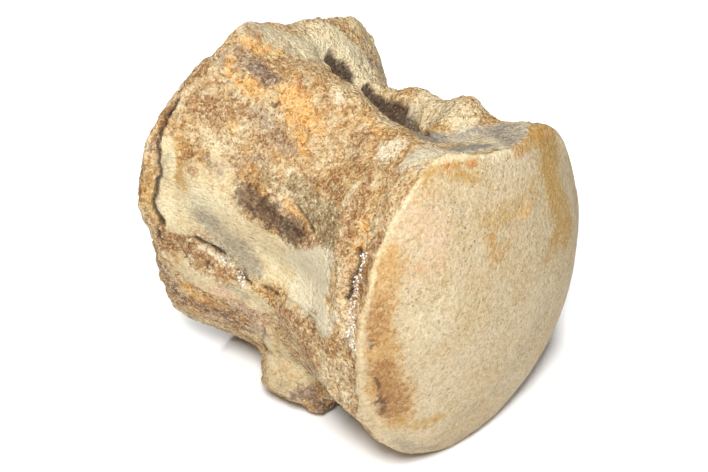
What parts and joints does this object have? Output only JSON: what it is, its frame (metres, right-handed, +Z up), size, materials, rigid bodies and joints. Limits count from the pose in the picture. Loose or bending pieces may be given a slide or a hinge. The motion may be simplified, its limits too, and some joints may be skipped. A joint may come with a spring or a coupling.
{
  "type": "fossil mosasaur vertebra",
  "caption": "Fossil mosasaur vertebra centrum with a domed rear end, a waisted spongy-surfaced body, broken arch and rib stumps and a short stump below, resting on its underside.",
  "frame": {"origin": "middle of the bounding box's base, on the surface the bone rests on", "axes": "+Z up; -Y towards the domed rear end (condyle); +Y towards the hollow front end (cotyle), which lies 6.3 degrees lower; +X towards the bone's right side, which lies rolled 21.5 degrees down"},
  "size_m": [0.0822, 0.0806, 0.0807],
  "materials": {
    "fossil_bone": "dull sandy buff fossil bone, smooth and finely pored on the condyle, rough and spongy where broken"
  },
  "bodies": {
    "root": {"vertebra": "fossil_bone"}
  },
  "joints": []
}
